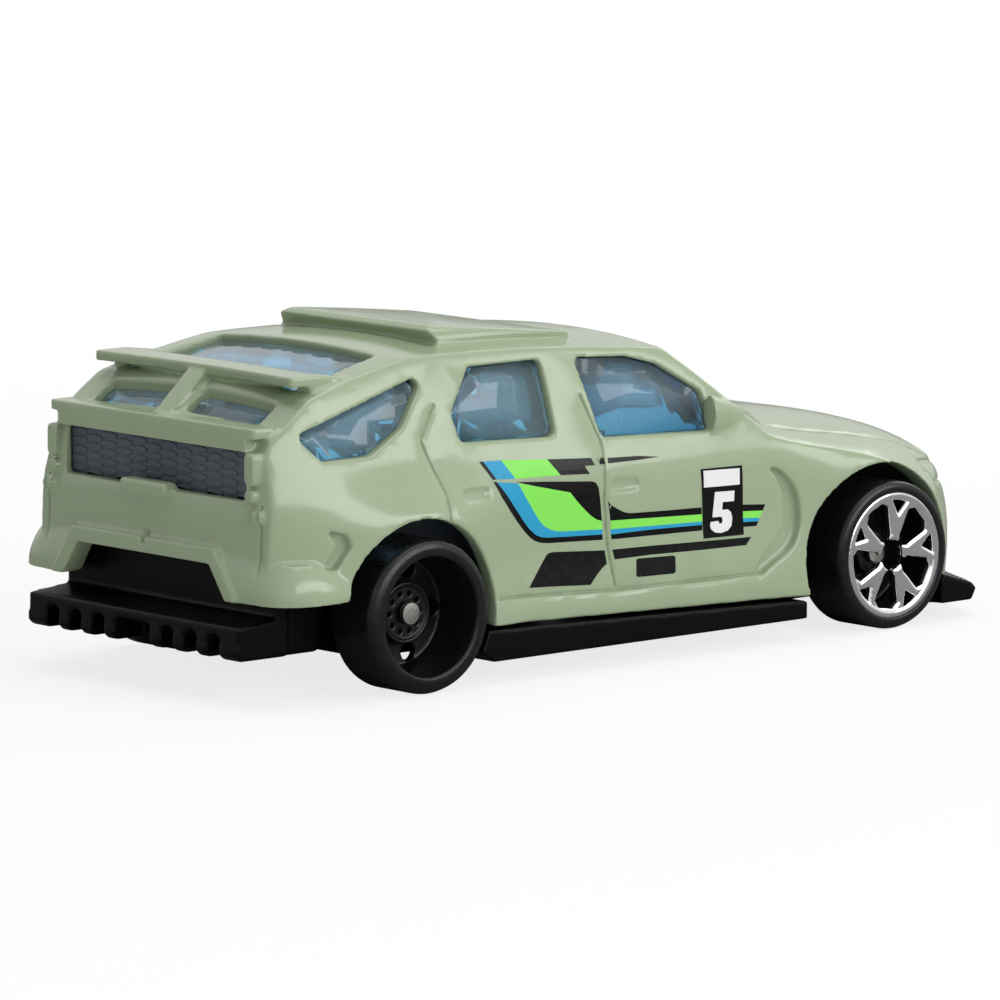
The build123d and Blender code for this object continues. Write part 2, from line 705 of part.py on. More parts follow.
# The black base: floor, skirts, splitter, rear valance and diffuser, axle saddles and rivet holes
with BuildPart() as base:
    with BuildSketch(Plane.XY.offset(base_bottom_z)):
        with BuildLine():
            Polyline(
                (rear_axle_x - 1.5, -base_half_width),
                (front_post_x - 1.8, -base_half_width),
                (front_post_x + 3.0, -5.0),
                (front_post_x + 3.0, 5.0),
                (front_post_x - 1.8, base_half_width),
                (rear_axle_x - 1.5, base_half_width),
                close=True,
            )
        make_face()
    extrude(amount=base_thickness)

    # Side skirts under the sills, with their tops following the sill line
    with BuildSketch(Plane.XZ):
        with BuildLine():
            Polyline(
                (skirt_rear_x + 2.0, skirt_bottom_z),
                (skirt_front_x, skirt_bottom_z),
                (skirt_front_x, sill_z - sill_rise * skirt_front_x - skirt_gap),
                (skirt_rear_x, sill_z - sill_rise * skirt_rear_x - skirt_gap),
                (skirt_rear_x, skirt_bottom_z + 1.4),
                close=True,
            )
        make_face()
    extrude(amount=skirt_y, both=True)
    with BuildSketch(Plane.XY.offset(skirt_bottom_z)):
        with Locations(((skirt_rear_x + skirt_front_x) / 2, 0)):
            Rectangle(skirt_front_x - skirt_rear_x + 1, 2 * base_half_width)
    extrude(amount=base_bottom_z - skirt_bottom_z, mode=Mode.SUBTRACT)

    # Front splitter, and its raised ends beside the nose, which slope down forwards
    with BuildSketch(Plane.XY.offset(splitter_bottom_z)):
        with BuildLine():
            end_x = splitter_rear_x + 5.3
            Polyline((end_x, -skirt_y), (end_x - 1.7, -skirt_y), (splitter_rear_x, -9.0), (splitter_rear_x, 9.0))
            Polyline((splitter_rear_x, 9.0), (end_x - 1.7, skirt_y), (end_x, skirt_y))
            Spline(
                (end_x, skirt_y),
                (end_x + 2.1, skirt_y - 1.3),
                (nose_x - 3.1, 9.5),
                (nose_x - 1.6, 7.0),
                (nose_x + splitter_reach / 2, 4.0),
                (splitter_x, 0),
                (nose_x + splitter_reach / 2, -4.0),
                (nose_x - 1.6, -7.0),
                (nose_x - 3.1, -9.5),
                (end_x + 2.1, 1.3 - skirt_y),
                (end_x, -skirt_y),
            )
        make_face()
    extrude(amount=splitter_thickness)
    for side in (-1, 1):
        with BuildSketch(Plane.XZ.offset(-side * splitter_end_y)):
            with BuildLine():
                Polyline(
                    (end_x - 2.0, splitter_bottom_z),
                    (end_x - 2.0, splitter_end_z),
                    (end_x - 1.6, splitter_end_z),
                    (end_x + 1.0, splitter_end_z - 0.8),
                    (end_x + 1.5, splitter_end_z - 1.3),
                    (end_x + 1.0, splitter_bottom_z),
                    close=True,
                )
            make_face()
        extrude(amount=-side * (skirt_y - splitter_end_y))

    # Rear floor, stepped up behind the axle, and the diffuser with the valance wall over it
    with BuildSketch(Plane.XZ):
        with BuildLine():
            Polyline(
                (rear_axle_x - 1.5, base_bottom_z),
                (rear_axle_x - 3.5, diffuser_bottom_z),
                (valance_x, diffuser_bottom_z),
                (valance_x, diffuser_bottom_z + base_thickness),
                (rear_axle_x - 3.5, diffuser_bottom_z + base_thickness),
                (rear_axle_x - 1.5, base_top_z),
                close=True,
            )
        make_face()
    extrude(amount=base_half_width, both=True)
    with BuildSketch(Plane.XZ):
        with BuildLine():
            Polyline(
                (valance_x + valance_thickness, diffuser_bottom_z),
                (diffuser_x + 0.4, diffuser_bottom_z),
                (diffuser_x, diffuser_bottom_z + 0.4),
                (diffuser_x + 0.2, diffuser_top_z),
                (valance_x, diffuser_top_z + 0.3),
                (valance_x, valance_top_z),
                (valance_x + valance_thickness, valance_top_z),
                close=True,
            )
        make_face()
    extrude(amount=diffuser_y, both=True)
    with BuildSketch(Plane.XZ):
        with BuildLine():
            Polyline(
                (valance_x, diffuser_bottom_z),
                (diffuser_front_x, diffuser_bottom_z),
                (diffuser_front_x + 0.4, diffuser_top_z),
                (diffuser_front_x + 0.4, valance_top_z - 1.5),
                (valance_x, valance_top_z),
                close=True,
            )
        make_face()
    extrude(amount=valance_y, both=True)
    with BuildSketch(Plane.XZ):
        with Locations((valance_x + valance_thickness, diffuser_bottom_z + base_thickness)):
            Rectangle(10, 10, align=(Align.MIN, Align.MIN))
    extrude(amount=valance_y - valance_thickness, both=True, mode=Mode.SUBTRACT)
    with BuildSketch(Plane.YZ.offset(diffuser_x)):
        slots = [centre_slot_width / 2 + slot_pitch * (i + 0.75) for i in range(slot_count)]
        with Locations(*[(side * y, diffuser_bottom_z) for y in slots for side in (-1, 1)]):
            RectangleRounded(slot_width, 2 * slot_height, slot_width / 2 - 0.1)
        with Locations((0, diffuser_bottom_z)):
            RectangleRounded(centre_slot_width, 2 * slot_height, slot_width / 2 - 0.1)
    extrude(amount=slot_length, mode=Mode.SUBTRACT)

    # Axle saddles
    with BuildSketch(Plane.XY.offset(base_bottom_z)):
        saddle_y = base_half_width - saddle_width / 2
        with Locations(*[(x, side * saddle_y) for x in (rear_axle_x, front_axle_x) for side in (-1, 1)]):
            Rectangle(saddle_length, saddle_width)
    extrude(amount=tray_bottom_z - base_bottom_z)
    with BuildSketch(Plane.XZ):
        with Locations((rear_axle_x, wheel_radius), (front_axle_x, wheel_radius)):
            Circle(axle_radius + seat_clearance)
    extrude(amount=base_half_width, both=True, mode=Mode.SUBTRACT)

    # Room for the wheels
    for side in (-1, 1):
        with BuildSketch(Plane.XZ.offset(-side * (wheel_inner_y - 0.4))):
            with Locations((rear_axle_x, wheel_radius), (front_axle_x, wheel_radius)):
                Circle(wheel_radius + wheel_gap)
        extrude(amount=-side * 8, mode=Mode.SUBTRACT)

    # Rivet holes, countersunk for the peened heads
    with BuildSketch(Plane.XY):
        with Locations((front_post_x, 0), (rear_post_x, 0)):
            Circle(post_radius + seat_clearance)
    extrude(amount=tray_bottom_z, mode=Mode.SUBTRACT)
    for x, foot in ((front_post_x, base_bottom_z), (rear_post_x, diffuser_bottom_z)):
        with BuildSketch(Plane.XY):
            with Locations((x, 0)):
                Circle(post_head_radius + seat_clearance)
        extrude(amount=foot + post_head_height + seat_clearance, mode=Mode.SUBTRACT)

base.part.label = "chassis_base"
export_step(base.part, "parts/chassis_base.step")

# The clear window moulding: a shell inside the roof, with its panes raised into the window openings
glass_outer = body_form(casting_wall + fit_gap, 0)
glass_inner = body_form(casting_wall + fit_gap + glass_thickness, 1)
pane_skin = body_form(pane_sink, 0)
side_panes = side_windows(pane_gap)
end_panes = end_windows(pane_gap)

with BuildPart() as panes:
    add(side_panes)
    add(end_panes)
    add(pane_skin, mode=Mode.INTERSECT)

with BuildPart() as glass:
    add(glass_outer)
    add(panes.part)
    add(glass_inner, mode=Mode.SUBTRACT)
    with BuildSketch(Plane.XZ):
        with BuildLine():
            Polyline(
                (-40, panel_top_z + fit_gap),
                (hatch_x - 1.3, panel_top_z + fit_gap),
                (hatch_x - 1.3, glass_bottom_z),
                (glass_front_x, glass_bottom_z),
                (glass_front_x, 40),
                (40, 40),
                (40, -10),
                (-40, -10),
                close=True,
            )
        make_face()
    extrude(amount=25, both=True, mode=Mode.SUBTRACT)

glass.part.label = "window_insert"
export_step(glass.part, "parts/window_insert.step")

# The grey interior: tub, dashboard, seats, steering wheel, rear shelf and honeycomb tail panel
with BuildPart() as tray:
    with BuildSketch(Plane.XY.offset(tray_bottom_z)):
        with Locations((tray_rear_x, 0)):
            Rectangle(tray_front_x - tray_rear_x, 2 * tray_y, align=(Align.MIN, Align.CENTER))
    extrude(amount=tray_top_z - tray_bottom_z)
    with BuildSketch(Plane.XY.offset(tray_bottom_z + tray_floor)):
        with Locations((tray_rear_x + tray_wall, 0)):
            Rectangle(
                tray_front_x - tray_rear_x - 2 * tray_wall,
                2 * (tray_y - tray_wall),
                align=(Align.MIN, Align.CENTER),
            )
    extrude(amount=20, mode=Mode.SUBTRACT)

    # Rear shelf and tail panel
    with BuildSketch(Plane.XY.offset(panel_bottom_z)):
        with Locations((panel_x, 0)):
            Rectangle(tray_rear_x - panel_x + tray_wall, 2 * tray_y, align=(Align.MIN, Align.CENTER))
    extrude(amount=tray_wall)
    with BuildSketch(Plane.XY.offset(panel_bottom_z)):
        with Locations((panel_x, 0)):
            Rectangle(panel_thickness, 2 * tray_y, align=(Align.MIN, Align.CENTER))
    extrude(amount=panel_top_z - panel_bottom_z)

    # Dashboard
    with BuildSketch(Plane.XZ):
        with BuildLine():
            Polyline(
                (tray_front_x - 3.1, tray_top_z - 2.5),
                (tray_front_x - 2.7, tray_top_z - 0.5),
                (tray_front_x - 1.5, tray_top_z - 0.1),
                (tray_front_x, tray_top_z - 0.5),
                (tray_front_x, tray_top_z - 4.0),
                (tray_front_x - 1.9, tray_top_z - 3.7),
                close=True,
            )
        make_face()
    extrude(amount=tray_y - tray_wall / 2, both=True)

    # Front seats and rear bench
    for x, y, width in (
        (seat_x, seat_y, seat_width),
        (seat_x, -seat_y, seat_width),
        (bench_x, 0, 2 * tray_y - 2.5),
    ):
        with BuildSketch(Plane.XZ.offset(-y - width / 2)):
            with BuildLine():
                Polyline(
                    (x + 3.2, tray_bottom_z + 0.4),
                    (x + 3.6, tray_bottom_z + 3.7),
                    (x - 0.8, tray_bottom_z + 3.3),
                    (x - 2.2, seat_top_z),
                    (x - 3.8, seat_top_z),
                    (x - 3.0, tray_bottom_z + 0.4),
                    close=True,
                )
            make_face()
            fillet(vertices().sort_by(Axis.Y)[2:], 0.5)
        extrude(amount=width)

    # Steering wheel and column
    with BuildSketch(Plane(origin=(steering_x, seat_y, steering_z), z_dir=(-1, 0, 0.45))):
        Circle(steering_radius)
        Circle(steering_radius - 0.5, mode=Mode.SUBTRACT)
        Rectangle(2 * steering_radius - 0.6, 0.6)
    extrude(amount=0.5)
    with BuildSketch(Plane(origin=(steering_x, seat_y, steering_z), z_dir=(1, 0, -0.45))):
        Circle(0.5)
    extrude(amount=tray_front_x - steering_x - 2.2)

tray.part.label = "interior_tray"
export_step(tray.part, "parts/interior_tray.step")

# Axles: a plain shaft with a swaged head at each end
for name, x, hub_face in (
    ("rear_axle", rear_axle_x, rear_hub_face),
    ("front_axle", front_axle_x, front_hub_face),
):
    head_y = wheel_inner_y + hub_face + end_play
    with BuildPart() as axle:
        with BuildSketch(Plane.XZ.offset(-head_y)):
            with Locations((x, wheel_radius)):
                Circle(axle_radius)
        extrude(amount=2 * head_y)
        with BuildSketch(Plane.XZ.offset(-head_y - axle_head_length), Plane.XZ.offset(head_y)):
            with Locations((x, wheel_radius)):
                Circle(axle_head_radius)
        extrude(amount=axle_head_length)
    axle.part.label = name
    export_step(axle.part, f"parts/{name}.step")


def wheel_planes(x, side):
    """The plane of a wheel's inner face, looking outwards, and the radial plane its section lies in."""
    inner = (x, side * wheel_inner_y, wheel_radius)
    face = Plane(origin=inner, x_dir=(1, 0, 0), z_dir=(0, side, 0))
    section = Plane(origin=inner, x_dir=(1, 0, 0), z_dir=(0, 0, side))
    return face, section


def tread(start_radius, shoulder, end_radius):
    """A tyre's section from its outer side wall, round the tread, to the foot of the rim inside."""
    return [
        (start_radius, wheel_width),
        (wheel_radius - shoulder, wheel_width),
        (wheel_radius - shoulder * tyre_bevel, wheel_width - shoulder * tyre_bevel),
        (wheel_radius, wheel_width - shoulder),
        (wheel_radius, 0.3),
        (wheel_radius - 0.3, 0),
        (end_radius, 0),
    ]


def rear_wheel(x, side):
    """A slick with a deep dish: a five-holed web at the back and a raised hub with ten small bolt holes."""
    face, section = wheel_planes(x, side)
    bore = axle_radius + running_clearance
    web_front = web_thickness + 0.3
    with BuildPart() as wheel:
        with BuildSketch(section):
            with BuildLine():
                Polyline(
                    (bore, 0.3),
                    (bore, rear_hub_face - 0.2),
                    (rear_hub_radius - 0.25, rear_hub_face - 0.2),
                    (rear_hub_radius - 0.25, rear_hub_face),
                    (rear_hub_radius, rear_hub_face),
                    (rear_hub_radius, web_front),
                    (rear_rim_radius - 0.35, web_front),
                    (rear_rim_radius, wheel_width - 0.15),
                    *tread(rear_rim_radius + 0.15, tyre_shoulder, rear_rim_radius),
                    (rear_rim_radius - 0.35, 0.3),
                    close=True,
                )
            make_face()
        revolve(axis=Axis(face.origin, face.z_dir))
        with BuildSketch(face):
            with PolarLocations((rear_hub_radius + rear_rim_radius) / 2 - 0.1, spoke_count):
                Circle(0.62)
        extrude(amount=rear_hub_face, mode=Mode.SUBTRACT)
        with BuildSketch(face.offset(rear_hub_face)):
            with PolarLocations(bolt_circle, bolt_count):
                Circle(bolt_radius)
        extrude(amount=-0.7, mode=Mode.SUBTRACT)
    return wheel.part


def front_wheel(x, side):
    """A low-profile tyre round an open five-spoke rim, each spoke forked at the rim, with a sunk hub."""
    face, section = wheel_planes(x, side)
    bore = axle_radius + running_clearance
    web_front = web_thickness + 0.4
    rim_inner = front_rim_radius - front_rim_width
    with BuildSketch() as gap:
        with BuildLine():
            Polyline((1.75, -0.72), (3.3, -1.25), (3.85, -0.75), (3.85, 0.75), (3.3, 1.25), (1.75, 0.72))
            ThreePointArc((1.75, 0.72), (1.05, 0), (1.75, -0.72))
        make_face()
    with BuildSketch() as fork:
        with BuildLine():
            Polyline((2.75, 0), (3.95, -0.85), (4.0, 0.0), (3.95, 0.85), close=True)
        make_face()
    with BuildPart() as wheel:
        with BuildSketch(section):
            with BuildLine():
                Polyline(
                    (bore, 0.3),
                    (bore, front_hub_face),
                    (front_hub_radius, front_hub_face),
                    (front_hub_radius, web_front),
                    (rim_inner, web_front),
                    (rim_inner, spoke_face + 0.1),
                    (front_rim_radius - 0.1, spoke_face + 0.1),
                    *tread(front_rim_radius, tyre_shoulder * 0.7, rim_inner),
                    (rim_inner, 0.3),
                    close=True,
                )
            make_face()
        revolve(axis=Axis(face.origin, face.z_dir))
        with BuildSketch(face.offset(spoke_face - spoke_depth)):
            Circle(rim_inner + 0.1)
            Circle(1.15, mode=Mode.SUBTRACT)
            with PolarLocations(0, spoke_count, start_angle=44):
                add(gap.sketch, mode=Mode.SUBTRACT)
            with PolarLocations(0, spoke_count, start_angle=80):
                add(fork.sketch, mode=Mode.SUBTRACT)
        extrude(amount=spoke_depth)
    return wheel.part


for end, x, make_wheel in (("rear", rear_axle_x, rear_wheel), ("front", front_axle_x, front_wheel)):
    for hand, side in (("left", 1), ("right", -1)):
        wheel = make_wheel(x, side)
        wheel.label = f"wheel_{end}_{hand}"
        export_step(wheel, f"parts/wheel_{end}_{hand}.step")
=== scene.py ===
"""A die-cast toy crossover of about 1:64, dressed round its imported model. All lengths are in metres."""

import math

import bpy
import numpy as np
from mathutils import Matrix, Vector


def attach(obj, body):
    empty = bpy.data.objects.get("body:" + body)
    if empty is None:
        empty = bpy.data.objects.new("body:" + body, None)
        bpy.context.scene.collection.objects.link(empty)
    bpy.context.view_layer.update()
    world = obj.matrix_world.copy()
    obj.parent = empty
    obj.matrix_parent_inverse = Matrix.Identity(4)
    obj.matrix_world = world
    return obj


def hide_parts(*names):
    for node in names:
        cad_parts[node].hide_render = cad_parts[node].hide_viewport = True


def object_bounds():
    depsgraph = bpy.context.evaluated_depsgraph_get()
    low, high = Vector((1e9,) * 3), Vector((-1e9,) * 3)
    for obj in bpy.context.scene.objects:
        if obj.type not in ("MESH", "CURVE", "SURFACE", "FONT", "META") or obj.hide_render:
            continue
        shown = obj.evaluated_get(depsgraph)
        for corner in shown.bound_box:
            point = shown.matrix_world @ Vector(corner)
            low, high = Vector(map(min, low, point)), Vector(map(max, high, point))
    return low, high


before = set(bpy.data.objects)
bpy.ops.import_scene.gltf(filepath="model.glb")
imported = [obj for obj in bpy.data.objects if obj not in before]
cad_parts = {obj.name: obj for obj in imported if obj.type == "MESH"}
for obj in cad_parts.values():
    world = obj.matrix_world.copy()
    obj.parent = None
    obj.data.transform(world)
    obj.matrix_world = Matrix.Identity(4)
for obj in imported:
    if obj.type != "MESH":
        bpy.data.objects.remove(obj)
cad_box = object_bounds()
scene = bpy.context.scene
MM = 0.001

# Camera
# A long lens at the rear right, a little above the roof, as the photograph was taken. The car fills the
# width of the picture and its tail is nearest.
camera_place = Vector((-0.36869, -0.414158, 0.087374))
camera_right = Vector((0.750111, -0.661312, 0.0))
camera_up = Vector((0.092037, 0.104395, 0.990268))
camera_back = camera_right.cross(camera_up)
camera_data = bpy.data.cameras.new("camera")
camera_data.sensor_width = 36
camera_data.lens = 288
camera = bpy.data.objects.new("camera", camera_data)
scene.collection.objects.link(camera)
turn = Matrix((camera_right, camera_up, camera_back)).transposed().to_4x4()
camera.matrix_world = Matrix.Translation(camera_place) @ turn
scene.camera = camera

# Floor and light
# A plain white sweep under the car and a white room round it, with soft boxes above, to the right and in
# front. The camera and glass see the room as white, while gloss sees a darker floor and foot of the room.


def tone(code):
    """The linear colour of an sRGB hex code."""
    parts = [int(code[i:i + 2], 16) / 255 for i in (1, 3, 5)]
    linear = [v / 12.92 if v <= 0.04045 else ((v + 0.055) / 1.055) ** 2.4 for v in parts]
    return (*linear, 1.0)


def add_node(tree, kind, values=(), links=(), **settings):
    """Adds a shader node with its settings, its socket values and its links."""
    made = tree.nodes.new(kind)
    for name, value in settings.items():
        setattr(made, name, value)
    for socket, value in dict(values).items():
        made.inputs[socket].default_value = value
    for socket, source in dict(links).items():
        tree.links.new(source, made.inputs[socket])
    return made


def new_material(name):
    """A material with an empty tree, and the tree."""
    material = bpy.data.materials.new(name)
    material.use_nodes = True
    material.node_tree.nodes.clear()
    return material, material.node_tree


floor_white = "#F2F2F2"
floor_share = 0.8
floor_dimming = 0.7
room_strength = 0.32
bpy.ops.object.select_all(action="DESELECT")
bpy.ops.mesh.primitive_plane_add(size=6, location=(0, 0, 0))
floor = bpy.context.object
floor.name = "floor"
paper, tree = new_material("matt_white_paper")
place = add_node(tree, "ShaderNodeTexCoord").outputs["Object"]
reach = add_node(tree, "ShaderNodeVectorMath", {}, {0: place}, operation="LENGTH")
far = add_node(
    tree, "ShaderNodeMapRange", {1: 0.05, 2: 0.9, 3: 1.0, 4: 1.3}, {0: reach.outputs["Value"]}
)
matt = add_node(tree, "ShaderNodeBsdfDiffuse", {"Color": tone(floor_white)})
glow = add_node(tree, "ShaderNodeEmission", {"Color": tone("#FFFFFF")}, {"Strength": far.outputs[0]})
ray = add_node(tree, "ShaderNodeLightPath")
share = add_node(
    tree, "ShaderNodeMath", {1: floor_share}, {0: ray.outputs["Is Camera Ray"]}, operation="MULTIPLY"
)
mixed = add_node(
    tree, "ShaderNodeMixShader", {}, {0: share.outputs[0], 1: matt.outputs[0], 2: glow.outputs[0]}
)
dark = add_node(tree, "ShaderNodeBsdfDiffuse", {"Color": tone("#000000")})
dim = add_node(
    tree, "ShaderNodeMath", {1: floor_dimming}, {0: ray.outputs["Is Glossy Ray"]}, operation="MULTIPLY"
)
dimmed = add_node(
    tree, "ShaderNodeMixShader", {}, {0: dim.outputs[0], 1: mixed.outputs[0], 2: dark.outputs[0]}
)
add_node(tree, "ShaderNodeOutputMaterial", {}, {"Surface": dimmed.outputs[0]})
floor.data.materials.append(paper)

world = bpy.data.worlds.new("white_room")
scene.world = world
world.use_nodes = True
tree = world.node_tree
tree.nodes.clear()
ray = add_node(tree, "ShaderNodeLightPath")
way = add_node(tree, "ShaderNodeTexCoord")
axes = add_node(tree, "ShaderNodeSeparateXYZ", {}, {0: way.outputs["Generated"]})
height = add_node(tree, "ShaderNodeMapRange", {1: 0.05, 2: 0.5, 3: 0.5, 4: 1.0}, {0: axes.outputs["Z"]})
seen = add_node(
    tree,
    "ShaderNodeMath",
    {},
    {0: ray.outputs["Is Camera Ray"], 1: ray.outputs["Is Transmission Ray"]},
    operation="MAXIMUM",
)
shiny = add_node(
    tree,
    "ShaderNodeMath",
    {},
    {0: ray.outputs["Is Glossy Ray"], 1: height.outputs[0]},
    operation="MULTIPLY",
)
white = add_node(
    tree, "ShaderNodeMath", {}, {0: seen.outputs[0], 1: shiny.outputs[0]}, operation="MAXIMUM"
)
level = add_node(
    tree, "ShaderNodeMapRange", {1: 0.0, 2: 1.0, 3: room_strength, 4: 1.0}, {0: white.outputs[0]}
)
room = add_node(
    tree, "ShaderNodeBackground", {"Color": tone("#FFFFFF")}, {"Strength": level.outputs[0]}
)
add_node(tree, "ShaderNodeOutputWorld", {}, {"Surface": room.outputs[0]})


def add_lamp(name, spot, target, size, power):
    """A rectangular soft box, aimed at a point of the car."""
    data = bpy.data.lights.new(name, "AREA")
    data.shape = "RECTANGLE"
    data.size, data.size_y = size
    data.energy = power
    lamp = bpy.data.objects.new(name, data)
    scene.collection.objects.link(lamp)
    lamp.location = spot
    lamp.rotation_euler = (Vector(target) - Vector(spot)).to_track_quat("-Z", "Y").to_euler()


add_lamp("top_box", (0.04, 0.02, 0.42), (0, 0, 0), (0.5, 0.36), 1.1)
add_lamp("side_box", (0.08, -0.42, 0.2), (0, 0, 0.01), (0.6, 0.14), 1.15)
add_lamp("front_box", (0.4, 0.1, 0.25), (0, 0, 0.01), (0.3, 0.2), 0.3)
scene.view_settings.view_transform = "Standard"

# Body casting
# The shell is one zinc die casting under a thick coat of gloss sage enamel. The paint rounds every edge and
# half fills the cast shut lines, and its surface has a faint orange peel.


def pick(piece):
    """Makes a piece the only one selected, and the active one."""
    bpy.ops.object.select_all(action="DESELECT")
    piece.select_set(True)
    bpy.context.view_layer.objects.active = piece


def apply_modifier(piece, kind, **settings):
    """Adds a modifier with its settings and applies it."""
    added = piece.modifiers.new(kind.lower(), kind)
    for name, value in settings.items():
        setattr(added, name, value)
    pick(piece)
    bpy.ops.object.modifier_apply(modifier=added.name)


def merged_copy(node, name):
    """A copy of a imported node's mesh with its loose triangles merged."""
    piece = bpy.data.objects.new(name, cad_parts[node].data.copy())
    scene.collection.objects.link(piece)
    piece.data.materials.clear()
    pick(piece)
    bpy.ops.object.mode_set(mode="EDIT")
    bpy.ops.mesh.select_all(action="SELECT")
    bpy.ops.mesh.remove_doubles(threshold=0.001 * MM)
    bpy.ops.object.mode_set(mode="OBJECT")
    return piece


def triangle_count(piece):
    """How many triangles a piece's faces come to."""
    return sum(len(face.vertices) - 2 for face in piece.data.polygons)


def thin_out(piece, most, **settings):
    """Brings a piece down to so many triangles, and takes its shading from the finer mesh."""
    piece.data.polygons.foreach_set("use_smooth", [True] * len(piece.data.polygons))
    count = triangle_count(piece)
    if count <= most:
        return
    fine = bpy.data.objects.new("fine", piece.data.copy())
    scene.collection.objects.link(fine)
    apply_modifier(piece, "DECIMATE", ratio=most / count, **settings)
    apply_modifier(
        piece,
        "DATA_TRANSFER",
        object=fine,
        use_loop_data=True,
        data_types_loops={"CUSTOM_NORMAL"},
        loop_mapping="POLYINTERP_NEAREST",
    )
    bpy.data.objects.remove(fine)


def soften(piece, voxel, rounds, most):
    """Gives a piece an even skin with round edges, of so many triangles at most."""
    apply_modifier(piece, "REMESH", mode="VOXEL", voxel_size=voxel)
    apply_modifier(piece, "SMOOTH", factor=0.5, iterations=rounds)
    thin_out(piece, most)


def keep_inside(piece):
    """Brings a piece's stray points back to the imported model's box."""
    spots = np.empty(len(piece.data.vertices) * 3)
    piece.data.vertices.foreach_get("co", spots)
    held = np.clip(spots.reshape(-1, 3), np.array(cad_box[0]), np.array(cad_box[1]))
    piece.data.vertices.foreach_set("co", held.ravel())
    piece.data.update()


def finish_piece(piece, body, slot, material, *nodes):
    """Gives a piece its material and its body, and hides the nodes that it replaces. The slot argument is
    not used.
    """
    piece.data.materials.clear()
    piece.data.materials.append(material)
    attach(piece, body)
    if nodes:
        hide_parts(*nodes)


def seam_reach(piece):
    """Each vertex's distance from the nearest shut line on its own side, and the way into the casting."""
    spots = np.empty(len(piece.data.vertices) * 3)
    piece.data.vertices.foreach_get("co", spots)
    spots = spots.reshape(-1, 3) / MM
    facing = np.empty(len(spots) * 3)
    piece.data.vertices.foreach_get("normal", facing)
    facing = facing.reshape(-1, 3)
    reach = np.full(len(spots), out_of_reach)
    inwards = np.zeros_like(spots)
    for axis, across, away, from_place, lines in shut_lines:
        out = np.sign(spots[:, 1]) if axis == 1 else np.full(len(spots), float(away))
        side = (out * facing[:, axis] > least_facing) & (out * spots[:, axis] > from_place)
        flat = spots[side][:, across]
        near = np.full(len(flat), out_of_reach)
        for line in lines:
            for start, end in zip(line, line[1:]):
                start = np.array(start)
                run = np.array(end) - start
                share = np.clip((flat - start) @ run / (run @ run), 0, 1)
                near = np.minimum(near, np.linalg.norm(flat - start - share[:, None] * run, axis=1))
        nearer = near < reach[side]
        where = np.flatnonzero(side)[nearer]
        reach[where] = near[nearer]
        inwards[where] = 0
        inwards[where, axis] = -out[where]
    return reach, inwards


sage = "#9EAD8F"
sage_deep = "#98A888"
seam_half_width = 0.17
seam_depth = 0.17 * MM
seam_zone = 0.42
seam_rounds = 45
out_of_reach = 99.0
least_facing = 0.35
body_voxel = 0.13 * MM
body_rounds = 7
body_triangles = 195000
hood_edge = [(12.0, 10.6), (21.4, 10.2), (29.5, 8.2), (31.0, 4.0), (31.7, 0.0)]
lamp_edge = [(7.2, 8.9), (7.6, 10.3), (12.2, 11.2), (12.4, 9.6), (7.2, 8.9)]
shut_lines = [
    (1, [0, 2], 0, 9.5, [
        [(-6.6, 18.5), (-5.6, 15.3), (-6.0, 11.4), (-5.7, 8.0), (-5.3, 5.4)],
        [(-19.7, 18.9), (-21.4, 16.8), (-20.7, 13.4), (-20.9, 11.0)],
        [(8.1, 5.0), (-5.3, 5.2), (-16.2, 5.7)],
    ]),
    (0, [1, 2], -1, 32.0, [[(-11.27, 8.9), (-11.27, 13.3)], [(11.27, 8.9), (11.27, 13.3)]]),
    (2, [0, 1], 1, 8.7, [hood_edge, [(x, -y) for x, y in hood_edge]]),
    (0, [1, 2], 1, 25.5, [lamp_edge, [(-y, z) for y, z in lamp_edge]]),
]
casting = merged_copy("body_casting", "painted_body")
apply_modifier(casting, "REMESH", mode="VOXEL", voxel_size=body_voxel)
apply_modifier(casting, "SMOOTH", factor=0.5, iterations=body_rounds)
zone = casting.vertex_groups.new(name="seams")
reach = seam_reach(casting)[0]
zone.add([int(index) for index in np.flatnonzero(reach < seam_zone)], 1.0, "REPLACE")
apply_modifier(casting, "SMOOTH", factor=0.5, iterations=seam_rounds, vertex_group="seams")
bpy.ops.object.mode_set(mode="EDIT")
bpy.ops.mesh.select_mode(type="VERT")
bpy.ops.mesh.select_all(action="DESELECT")
bpy.ops.object.vertex_group_select()
bpy.ops.mesh.subdivide(number_cuts=1)
bpy.ops.object.mode_set(mode="OBJECT")
reach, inwards = seam_reach(casting)
spots = np.empty(len(casting.data.vertices) * 3)
casting.data.vertices.foreach_get("co", spots)
groove = 0.5 + 0.5 * np.cos(math.pi * reach / seam_half_width)
sink = np.where(reach < seam_half_width, groove, 0) * seam_depth
casting.data.vertices.foreach_set("co", spots + (inwards * sink[:, None]).ravel())
casting.data.update()
thin_out(casting, body_triangles, vertex_group="seams", invert_vertex_group=True)
enamel, tree = new_material("gloss_sage_enamel")
place = add_node(tree, "ShaderNodeTexCoord").outputs["Object"]
cloud = add_node(tree, "ShaderNodeTexNoise", {"Scale": 180.0, "Detail": 3.0}, {"Vector": place})
tint = add_node(
    tree, "ShaderNodeMix", {6: tone(sage), 7: tone(sage_deep)}, {0: cloud.outputs[0]}, data_type="RGBA"
)
film = add_node(tree, "ShaderNodeTexNoise", {"Scale": 700.0, "Detail": 2.0}, {"Vector": place})
gloss = add_node(tree, "ShaderNodeMapRange", {1: 0.3, 2: 0.7, 3: 0.14, 4: 0.19}, {0: film.outputs[0]})
peel = add_node(tree, "ShaderNodeTexNoise", {"Scale": 1600.0, "Detail": 1.0}, {"Vector": place})
bump = add_node(
    tree, "ShaderNodeBump", {"Strength": 0.06, "Distance": 0.02 * MM}, {"Height": peel.outputs[0]}
)
